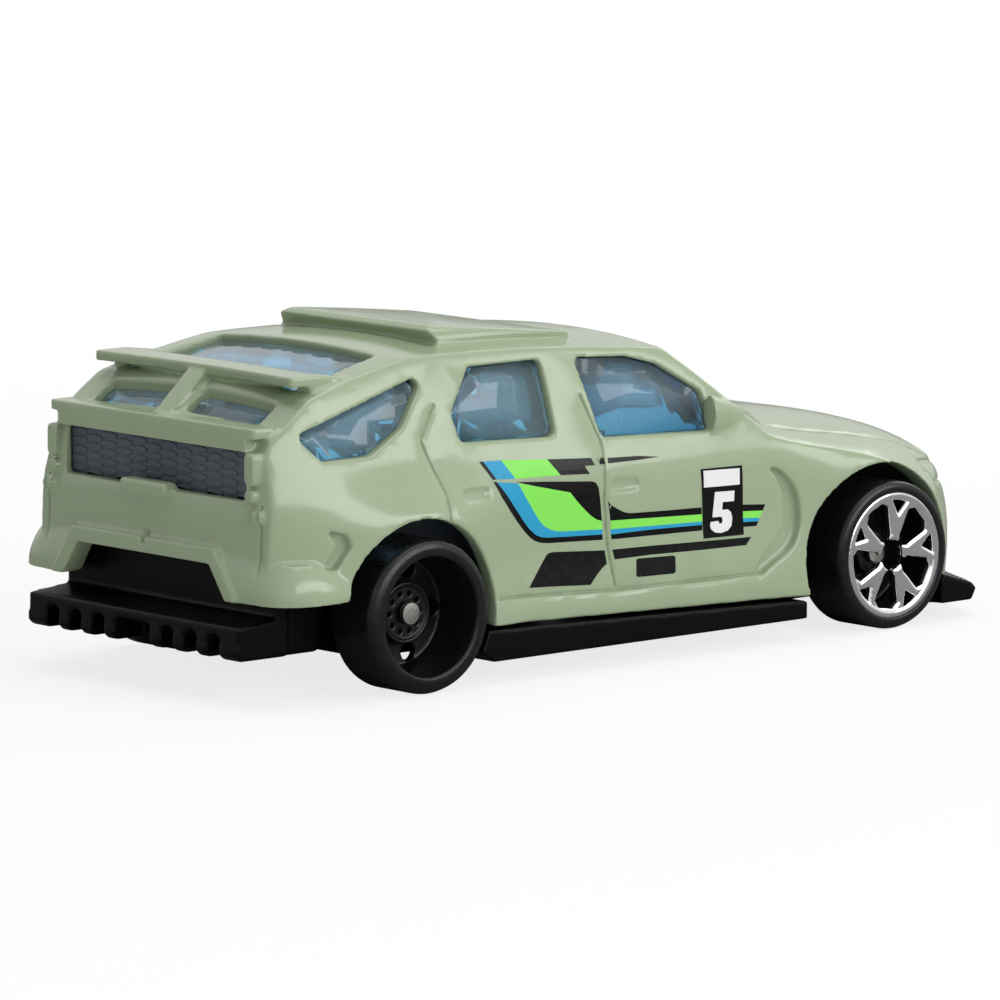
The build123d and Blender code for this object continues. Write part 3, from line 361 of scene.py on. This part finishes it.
coat = add_node(
    tree,
    "ShaderNodeBsdfPrincipled",
    {"IOR": 1.48},
    {"Base Color": tint.outputs[2], "Roughness": gloss.outputs[0], "Normal": bump.outputs[0]},
)
add_node(tree, "ShaderNodeOutputMaterial", {}, {"Surface": coat.outputs[0]})
finish_piece(casting, "body", "painted_casting", enamel, "body_casting")

# Printed stripes and number
# Both doors carry a tampo print in four inks: black, blue and green bands that turn down behind the front
# door's shut line and run forwards, a black number panel and a white 5. The panel lies on the bands.
ink_colours = {"black": "#0A0A0B", "blue": "#2E9BC6", "green": "#86E35B", "white": "#E8E8E8"}
ink_thickness = 0.02 * MM
ink_standoff = 0.25
print_start_y = 16 * MM
print_step = 0.3 * MM
outer_edge = [
    (-16.07, 13.59), (-15.56, 12.56), (-14.89, 11.62), (-14.11, 10.7), (-13.35, 9.94), (-12.82, 9.48),
    (-12.35, 9.21), (-11.79, 9.04), (-11.07, 8.95), (-9.27, 8.87), (-6.2, 8.72),
]
black_edge = [
    (-15.76, 13.55), (-14.98, 12.53), (-14.28, 11.62), (-13.51, 10.7), (-12.93, 10.1), (-12.35, 9.65),
    (-11.79, 9.43), (-11.24, 9.34), (-9.27, 9.23), (-6.22, 9.09),
]
blue_edge = [
    (-13.83, 13.29), (-13.26, 12.32), (-12.55, 11.31), (-11.99, 10.58), (-11.53, 10.16), (-11.06, 9.91),
    (-10.52, 9.73), (-9.98, 9.64), (-6.24, 9.45),
]
green_edge = [
    (-11.92, 12.87), (-9.14, 12.24), (-8.66, 11.7), (-8.04, 11.1), (-7.32, 10.49), (-6.77, 10.16),
    (-6.28, 10.02),
]
black_prints = [
    [(-16.88, 14.97), (-16.54, 14.96), (-15.75, 13.72), (-16.08, 13.72)],
    [(-10.84, 14.61), (-6.91, 14.37), (-6.68, 13.87), (-7.6, 13.89), (-7.25, 13.33), (-9.89, 13.48)],
    outer_edge + black_edge[::-1],
    [(-13.97, 13.39), (-7.07, 12.81), (-6.77, 12.67), (-6.57, 12.35), (-6.5, 11.86), (-6.28, 10.03)]
    + green_edge[-2::-1],
    [
        (-13.19, 6.13), (-11.32, 8.18), (-11.09, 8.27), (-10.64, 8.3), (-6.05, 7.98), (-5.97, 7.05),
        (-6.39, 6.83), (-6.93, 6.42), (-7.61, 5.78),
    ],
    [(-6.33, 14.28), (-2.58, 14.13), (-0.7, 13.91), (-2.65, 13.87), (-6.17, 13.87)],
    [
        (-5.68, 11.3), (-5.45, 11.04), (-4.87, 10.72), (-4.2, 10.42), (-3.69, 10.31), (-0.65, 10.19),
        (2.97, 10.09), (2.97, 9.61), (-1.77, 9.81), (-5.48, 9.97),
    ],
    [(-5.43, 9.01), (-1.77, 9.0), (3.04, 8.87), (3.01, 8.49), (-1.78, 8.59), (-5.38, 8.67)],
    [(6.8, 9.92), (9.04, 9.73), (8.82, 9.32), (6.81, 9.45)],
    [(6.8, 8.69), (8.39, 8.61), (8.19, 8.3), (6.78, 8.36)],
    [
        (-5.34, 7.96), (-1.83, 7.88), (2.68, 7.74), (7.65, 7.59), (7.1, 7.08), (2.62, 7.16),
        (-1.88, 7.28), (-5.2, 7.28),
    ],
    [
        (-3.24, 7.05), (-3.07, 7.13), (0.22, 7.02), (0.37, 6.92), (0.3, 5.92), (0.1, 5.8),
        (-3.2, 5.88), (-3.36, 6.0),
    ],
]
blue_prints = [
    [(-16.54, 14.96), (-14.92, 14.9), (-14.01, 13.6), (-15.75, 13.72)],
    black_edge + blue_edge[::-1],
    [(-5.45, 9.37), (-1.77, 9.25), (3.03, 9.1), (3.04, 8.87), (-1.77, 9.0), (-5.43, 9.01)],
    [(6.8, 8.96), (8.51, 8.85), (8.39, 8.61), (6.8, 8.69)],
]
green_prints = [
    [(-14.92, 14.9), (-10.84, 14.61), (-9.89, 13.48), (-14.01, 13.6)],
    blue_edge + green_edge[::-1],
    [(-5.48, 9.97), (-1.77, 9.81), (3.03, 9.61), (3.03, 9.1), (-1.77, 9.25), (-5.45, 9.37)],
    [(6.81, 9.45), (8.82, 9.32), (8.51, 8.85), (6.8, 8.96)],
]
panel_print = [(2.93, 12.74), (6.84, 12.66), (6.95, 7.81), (3.12, 7.91)]
patch_print = [(3.15, 12.61), (6.58, 12.5), (6.56, 11.36), (3.15, 11.45)]
five_print = [
    (4.19, 11.05), (6.06, 10.98), (6.02, 10.25), (4.93, 10.28), (4.89, 9.74), (5.45, 9.72), (5.73, 9.52),
    (5.87, 9.09), (5.78, 8.56), (5.43, 8.26), (4.76, 8.14), (4.18, 8.23), (3.84, 8.47), (3.73, 8.75),
    (3.8, 9.0), (4.55, 9.0), (4.6, 8.81), (4.87, 8.82), (4.94, 9.02), (4.88, 9.22), (4.7, 9.28),
    (3.96, 9.3),
]
panel_middle = 4.94


def add_print(name, outlines, side, layer, material):
    """A thin film of ink: flat outlines in the side view, laid on the painted flank and thickened."""
    parts = []
    for outline in outlines:
        bpy.ops.object.select_all(action="DESELECT")
        bpy.ops.mesh.primitive_circle_add(vertices=len(outline), radius=MM, fill_type="NGON")
        part = bpy.context.object
        for corner, (x, z) in zip(part.data.vertices, outline):
            corner.co = (x * MM, side * print_start_y, z * MM)
        parts.append(part)
    bpy.ops.object.select_all(action="DESELECT")
    for part in parts:
        part.select_set(True)
    bpy.context.view_layer.objects.active = parts[0]
    if len(parts) > 1:
        bpy.ops.object.join()
    film = bpy.context.object
    film.name = name
    bpy.ops.object.mode_set(mode="EDIT")
    xs = [x * MM for outline in outlines for x, z in outline]
    zs = [z * MM for outline in outlines for x, z in outline]
    for places, normal in ((xs, (1, 0, 0)), (zs, (0, 0, 1))):
        for cut in np.arange(min(places) + print_step / 2, max(places), print_step):
            bpy.ops.mesh.select_all(action="SELECT")
            bpy.ops.mesh.bisect(plane_co=Vector(normal) * float(cut), plane_no=normal)
    bpy.ops.mesh.select_all(action="SELECT")
    bpy.ops.mesh.remove_doubles(threshold=0.002 * MM)
    bpy.ops.object.mode_set(mode="OBJECT")
    apply_modifier(
        film,
        "SHRINKWRAP",
        target=casting,
        wrap_method="PROJECT",
        wrap_mode="ABOVE_SURFACE",
        use_project_x=False,
        use_project_y=True,
        use_project_z=False,
        use_positive_direction=side < 0,
        use_negative_direction=side > 0,
        offset=(ink_standoff + layer) * ink_thickness,
    )
    apply_modifier(film, "SOLIDIFY", thickness=ink_thickness, offset=0.0)
    bpy.ops.object.mode_set(mode="EDIT")
    bpy.ops.mesh.select_all(action="SELECT")
    bpy.ops.mesh.normals_make_consistent(inside=False)
    bpy.ops.object.mode_set(mode="OBJECT")
    finish_piece(film, "body", "painted_casting", material)


inks = {}
for name, colour in ink_colours.items():
    ink, tree = new_material("tampo_ink_" + name)
    place = add_node(tree, "ShaderNodeTexCoord").outputs["Object"]
    grain = add_node(tree, "ShaderNodeTexNoise", {"Scale": 2500.0, "Detail": 3.0}, {"Vector": place})
    thin = add_node(
        tree, "ShaderNodeMapRange", {1: 0.35, 2: 0.75, 3: 0.0, 4: 0.012}, {0: grain.outputs[0]}
    )
    tint = add_node(
        tree, "ShaderNodeMix", {6: tone(colour), 7: tone(sage)}, {0: thin.outputs[0]}, data_type="RGBA"
    )
    gloss = add_node(
        tree, "ShaderNodeMapRange", {1: 0.3, 2: 0.7, 3: 0.2, 4: 0.28}, {0: grain.outputs[0]}
    )
    bump = add_node(
        tree, "ShaderNodeBump", {"Strength": 0.1, "Distance": 0.01 * MM}, {"Height": grain.outputs[0]}
    )
    coat = add_node(
        tree,
        "ShaderNodeBsdfPrincipled",
        {"IOR": 1.27},
        {"Base Color": tint.outputs[2], "Roughness": gloss.outputs[0], "Normal": bump.outputs[0]},
    )
    add_node(tree, "ShaderNodeOutputMaterial", {}, {"Surface": coat.outputs[0]})
    inks[name] = ink
for side, flank in ((-1, "right"), (1, "left")):
    five = five_print if side < 0 else [(2 * panel_middle - x, z) for x, z in five_print]
    add_print("blue_stripes_" + flank, blue_prints, side, 0, inks["blue"])
    add_print("green_stripes_" + flank, green_prints, side, 0, inks["green"])
    add_print("black_stripes_" + flank, black_prints, side, 0, inks["black"])
    add_print("number_panel_" + flank, [panel_print], side, 1, inks["black"])
    add_print("number_" + flank, [patch_print, five], side, 2, inks["white"])

# Window moulding
# All panes are one clear polystyrene moulding, tinted blue right through, so it is pale across its wall and
# deep blue along its edges. The polished mould leaves it glassy.
pale_blue = "#D8F1FA"
glazing = merged_copy("window_insert", "clear_window")
pick(glazing)
bpy.ops.object.shade_smooth_by_angle(angle=math.radians(28))
clear, tree = new_material("clear_blue_polystyrene")
place = add_node(tree, "ShaderNodeTexCoord").outputs["Object"]
flow = add_node(tree, "ShaderNodeTexNoise", {"Scale": 220.0, "Detail": 2.0}, {"Vector": place})
bump = add_node(
    tree, "ShaderNodeBump", {"Strength": 0.08, "Distance": 0.03 * MM}, {"Height": flow.outputs[0]}
)
gloss = add_node(tree, "ShaderNodeMapRange", {1: 0.3, 2: 0.7, 3: 0.02, 4: 0.06}, {0: flow.outputs[0]})
glass = add_node(
    tree,
    "ShaderNodeBsdfPrincipled",
    {
        "Base Color": tone(pale_blue),
        "Transmission Weight": 0.86,
        "IOR": 1.2,
        "Coat Weight": 0.45,
        "Coat IOR": 1.5,
        "Coat Roughness": 0.02,
    },
    {"Roughness": gloss.outputs[0], "Normal": bump.outputs[0]},
)
blue_depth = add_node(
    tree, "ShaderNodeVolumeAbsorption", {"Color": (0.0, 0.66, 0.86, 1.0), "Density": 430.0}
)
add_node(
    tree, "ShaderNodeOutputMaterial", {}, {"Surface": glass.outputs[0], "Volume": blue_depth.outputs[0]}
)
finish_piece(glazing, "body", "tinted_window", clear, "window_insert")

# Interior moulding
# Floor, seats, dashboard and the tail panel are one grey ABS moulding, satin from the mould. The tail panel
# carries long six-sided cells in rows that stand proud of it, and the casting's opening frames them.
grey_tone = "#565B66"
grey_deep = "#4C515C"
tray_voxel = 0.16 * MM
tray_triangles = 60000
tray = merged_copy("interior_tray", "grey_interior_tray")
soften(tray, tray_voxel, 3, tray_triangles)
grey, tree = new_material("satin_grey_abs")
place = add_node(tree, "ShaderNodeTexCoord").outputs["Object"]
cloud = add_node(tree, "ShaderNodeTexNoise", {"Scale": 400.0, "Detail": 4.0}, {"Vector": place})
tint = add_node(
    tree, "ShaderNodeMix", {6: tone(grey_tone), 7: tone(grey_deep)}, {0: cloud.outputs[0]}, data_type="RGBA"
)
spark = add_node(tree, "ShaderNodeTexNoise", {"Scale": 5000.0, "Detail": 2.0}, {"Vector": place})
gloss = add_node(tree, "ShaderNodeMapRange", {1: 0.3, 2: 0.7, 3: 0.36, 4: 0.48}, {0: spark.outputs[0]})
bump = add_node(
    tree, "ShaderNodeBump", {"Strength": 0.15, "Distance": 0.01 * MM}, {"Height": spark.outputs[0]}
)
matt = add_node(
    tree,
    "ShaderNodeBsdfPrincipled",
    {"IOR": 1.45},
    {"Base Color": tint.outputs[2], "Roughness": gloss.outputs[0], "Normal": bump.outputs[0]},
)
add_node(tree, "ShaderNodeOutputMaterial", {}, {"Surface": matt.outputs[0]})
finish_piece(tray, "body", "grey_interior", grey, "interior_tray")

panel_face_x = -33.8 * MM
cell_pitch_y = 1.6 * MM
cell_pitch_z = 0.62 * MM
cell_rise = 0.09 * MM
cell_gap = 0.11 * MM
cell_overlap = 1.06
cell_bevel = 0.06 * MM
cell_rows = 7
cell_columns = 7
frame_y = 9.5 * MM
frame_z = (13.64 * MM, 16.86 * MM)
columns = []
for shift in (0, 1):
    bpy.ops.object.select_all(action="DESELECT")
    bpy.ops.mesh.primitive_cylinder_add(vertices=6, radius=1, depth=2)
    cell = bpy.context.object
    bpy.ops.object.mode_set(mode="EDIT")
    bpy.ops.mesh.select_all(action="SELECT")
    bpy.ops.transform.rotate(value=math.pi / 2, orient_axis="X", center_override=(0, 0, 0))
    bpy.ops.transform.rotate(value=math.pi / 2, orient_axis="Z", center_override=(0, 0, 0))
    bpy.ops.object.mode_set(mode="OBJECT")
    corners = np.empty(len(cell.data.vertices) * 3)
    cell.data.vertices.foreach_get("co", corners)
    corners = corners.reshape(-1, 3)
    corners /= np.abs(corners).max(axis=0)
    half_width = (cell_pitch_y * cell_overlap - cell_gap) / 2
    half_height = (cell_pitch_z - cell_gap) / 2
    half = np.array((cell_rise, half_width, half_height))
    start = np.array((
        panel_face_x,
        (shift - (cell_columns - 0.5)) * cell_pitch_y,
        frame_z[0] + (shift * 0.5 - 0.5) * cell_pitch_z,
    ))
    cell.data.vertices.foreach_set("co", (corners * half + start).ravel())
    cell.data.update()
    apply_modifier(cell, "BEVEL", width=cell_bevel, segments=2, limit_method="ANGLE")
    apply_modifier(
        cell, "ARRAY", count=cell_rows, use_relative_offset=False, use_constant_offset=True,
        constant_offset_displace=(0, 0, cell_pitch_z),
    )
    apply_modifier(
        cell, "ARRAY", count=cell_columns, use_relative_offset=False, use_constant_offset=True,
        constant_offset_displace=(0, 2 * cell_pitch_y, 0),
    )
    columns.append(cell)
bpy.ops.object.select_all(action="DESELECT")
for cell in columns:
    cell.select_set(True)
bpy.context.view_layer.objects.active = columns[0]
bpy.ops.object.join()
cells = bpy.context.object
cells.name = "tail_panel_cells"
bpy.ops.object.mode_set(mode="EDIT")
trims = (
    ((0, frame_y, 0), (0, 1, 0)),
    ((0, -frame_y, 0), (0, -1, 0)),
    ((0, 0, frame_z[1]), (0, 0, 1)),
    ((0, 0, frame_z[0]), (0, 0, -1)),
)
for spot, normal in trims:
    bpy.ops.mesh.select_all(action="SELECT")
    bpy.ops.mesh.bisect(plane_co=spot, plane_no=normal, use_fill=True, clear_outer=True)
bpy.ops.mesh.select_all(action="SELECT")
bpy.ops.mesh.normals_make_consistent(inside=False)
bpy.ops.object.mode_set(mode="OBJECT")
finish_piece(cells, "body", "grey_interior", grey)

# Base moulding
# Floor, skirts, splitter, diffuser and valance are one black ABS moulding, satin from the mould, with soft
# corners and faint scuffs. It is riveted to the casting's two posts.
black_tone = "#050506"
black_scuffed = "#0E0E0F"
base_voxel = 0.14 * MM
base_triangles = 120000
base = merged_copy("chassis_base", "black_base")
soften(base, base_voxel, 6, base_triangles)
satin, tree = new_material("satin_black_abs")
place = add_node(tree, "ShaderNodeTexCoord").outputs["Object"]
scuff = add_node(
    tree,
    "ShaderNodeTexNoise",
    {"Scale": 900.0, "Detail": 6.0, "Roughness": 0.7, "Distortion": 1.5},
    {"Vector": place},
)
worn = add_node(tree, "ShaderNodeMapRange", {1: 0.55, 2: 0.75, 3: 0.0, 4: 1.0}, {0: scuff.outputs[0]})
tint = add_node(
    tree,
    "ShaderNodeMix",
    {6: tone(black_tone), 7: tone(black_scuffed)},
    {0: worn.outputs[0]},
    data_type="RGBA",
)
gloss = add_node(tree, "ShaderNodeMapRange", {1: 0.0, 2: 1.0, 3: 0.34, 4: 0.5}, {0: worn.outputs[0]})
spark = add_node(tree, "ShaderNodeTexNoise", {"Scale": 4000.0, "Detail": 2.0}, {"Vector": place})
bump = add_node(
    tree, "ShaderNodeBump", {"Strength": 0.15, "Distance": 0.01 * MM}, {"Height": spark.outputs[0]}
)
matt = add_node(
    tree,
    "ShaderNodeBsdfPrincipled",
    {"IOR": 1.22},
    {"Base Color": tint.outputs[2], "Roughness": gloss.outputs[0], "Normal": bump.outputs[0]},
)
add_node(tree, "ShaderNodeOutputMaterial", {}, {"Surface": matt.outputs[0]})
finish_piece(base, "body", "black_base", satin, "chassis_base")

# Axles
# Each axle is a drawn steel wire with an upset head at both ends, barrel plated in dull nickel. The heads
# are rounded and show in the middle of each wheel.
nickel = "#C6C3BE"
nickel_dull = "#A9A5A0"
head_bevel = 0.16 * MM
wire, tree = new_material("nickel_plated_wire")
place = add_node(tree, "ShaderNodeTexCoord").outputs["Object"]
frost = add_node(tree, "ShaderNodeTexNoise", {"Scale": 3500.0, "Detail": 3.0}, {"Vector": place})
tint = add_node(
    tree, "ShaderNodeMix", {6: tone(nickel), 7: tone(nickel_dull)}, {0: frost.outputs[0]}, data_type="RGBA"
)
gloss = add_node(tree, "ShaderNodeMapRange", {1: 0.3, 2: 0.7, 3: 0.26, 4: 0.42}, {0: frost.outputs[0]})
bump = add_node(
    tree, "ShaderNodeBump", {"Strength": 0.2, "Distance": 0.01 * MM}, {"Height": frost.outputs[0]}
)
metal = add_node(
    tree,
    "ShaderNodeBsdfPrincipled",
    {"Metallic": 1.0},
    {"Base Color": tint.outputs[2], "Roughness": gloss.outputs[0], "Normal": bump.outputs[0]},
)
add_node(tree, "ShaderNodeOutputMaterial", {}, {"Surface": metal.outputs[0]})
for node in ("front_axle", "rear_axle"):
    axle = merged_copy(node, "plated_" + node)
    apply_modifier(
        axle, "BEVEL", width=head_bevel, segments=3, limit_method="ANGLE", angle_limit=math.radians(40)
    )
    pick(axle)
    bpy.ops.object.shade_smooth_by_angle(angle=math.radians(35))
    finish_piece(axle, "body", "axle_steel", wire, node)

# Rear wheels
# Each is one black polystyrene moulding, tyre and rim together, with a deep dish, a hub and ten cast bolts.
# It is glossier than the base.
gloss_black = "#0D0D0F"
rubbed_black = "#161618"
wheel_voxel = 0.09 * MM
wheel_triangles = 70000
tyre, tree = new_material("gloss_black_polystyrene")
place = add_node(tree, "ShaderNodeTexCoord").outputs["Object"]
rub = add_node(
    tree,
    "ShaderNodeTexNoise",
    {"Scale": 1200.0, "Detail": 5.0, "Roughness": 0.65},
    {"Vector": place},
)
tint = add_node(
    tree,
    "ShaderNodeMix",
    {6: tone(gloss_black), 7: tone(rubbed_black)},
    {0: rub.outputs[0]},
    data_type="RGBA",
)
gloss = add_node(tree, "ShaderNodeMapRange", {1: 0.35, 2: 0.7, 3: 0.24, 4: 0.36}, {0: rub.outputs[0]})
bump = add_node(
    tree, "ShaderNodeBump", {"Strength": 0.08, "Distance": 0.01 * MM}, {"Height": rub.outputs[0]}
)
smooth = add_node(
    tree,
    "ShaderNodeBsdfPrincipled",
    {"IOR": 1.38},
    {"Base Color": tint.outputs[2], "Roughness": gloss.outputs[0], "Normal": bump.outputs[0]},
)
add_node(tree, "ShaderNodeOutputMaterial", {}, {"Surface": smooth.outputs[0]})
for body in ("rear_left", "rear_right"):
    wheel = merged_copy("wheel_" + body, "black_wheel_" + body)
    soften(wheel, wheel_voxel, 2, wheel_triangles)
    keep_inside(wheel)
    finish_piece(wheel, body, "rear_wheel", tyre, "wheel_" + body)

# Front wheels
# These are black mouldings too, with five forked spokes. A hot-stamped chrome foil covers the spokes and
# the rim's face: it wraps a little over their edges, and its surface is bright and slightly wavy.
foil_depth = 0.35 * MM
foil_swell = 0.12 * MM
foil_radius = 4.52 * MM
foil_face_y = 14.86 * MM
foil_voxel = 0.07 * MM
foil_fine_triangles = 400000
foil_triangles = 50000
axle_x = 20.1 * MM
axle_z = 5.25 * MM
chrome, tree = new_material("hot_stamped_chrome_foil")
place = add_node(tree, "ShaderNodeTexCoord").outputs["Object"]
wave = add_node(tree, "ShaderNodeTexNoise", {"Scale": 900.0, "Detail": 2.0}, {"Vector": place})
rub = add_node(
    tree,
    "ShaderNodeTexNoise",
    {"Scale": 3500.0, "Detail": 4.0, "Roughness": 0.7},
    {"Vector": place},
)
dull = add_node(tree, "ShaderNodeMapRange", {1: 0.55, 2: 0.75, 3: 0.04, 4: 0.16}, {0: rub.outputs[0]})
bump = add_node(
    tree, "ShaderNodeBump", {"Strength": 0.35, "Distance": 0.05 * MM}, {"Height": wave.outputs[0]}
)
mirror = add_node(
    tree,
    "ShaderNodeBsdfPrincipled",
    {"Base Color": tone("#EDEEF0"), "Metallic": 1.0},
    {"Roughness": dull.outputs[0], "Normal": bump.outputs[0]},
)
add_node(tree, "ShaderNodeOutputMaterial", {}, {"Surface": mirror.outputs[0]})
for body, side in (("front_left", 1), ("front_right", -1)):
    wheel = merged_copy("wheel_" + body, "black_wheel_" + body)
    foil = bpy.data.objects.new("chrome_face_" + body, wheel.data.copy())
    scene.collection.objects.link(foil)
    soften(wheel, wheel_voxel, 2, wheel_triangles)
    keep_inside(wheel)
    finish_piece(wheel, body, "front_wheel", tyre, "wheel_" + body)

    pick(foil)
    bpy.ops.object.mode_set(mode="EDIT")
    bpy.ops.mesh.select_mode(type="FACE")
    bpy.ops.mesh.select_all(action="DESELECT")
    bpy.ops.object.mode_set(mode="OBJECT")
    for face in foil.data.polygons:
        spots = [foil.data.vertices[index].co for index in face.vertices]
        flat = all(side * spot.y > foil_face_y for spot in spots) and side * face.normal.y > 0.9
        near = all(math.hypot(spot.x - axle_x, spot.z - axle_z) < foil_radius for spot in spots)
        face.select = not (flat and near)
    bpy.ops.object.mode_set(mode="EDIT")
    bpy.ops.mesh.delete(type="FACE")
    bpy.ops.object.mode_set(mode="OBJECT")
    apply_modifier(foil, "SOLIDIFY", thickness=foil_depth, offset=-1.0)
    soften(foil, foil_voxel, 8, foil_fine_triangles)
    apply_modifier(foil, "DISPLACE", strength=foil_swell, mid_level=0.0)
    apply_modifier(foil, "DECIMATE", ratio=min(1.0, foil_triangles / triangle_count(foil)))
    finish_piece(foil, body, "front_wheel", chrome)
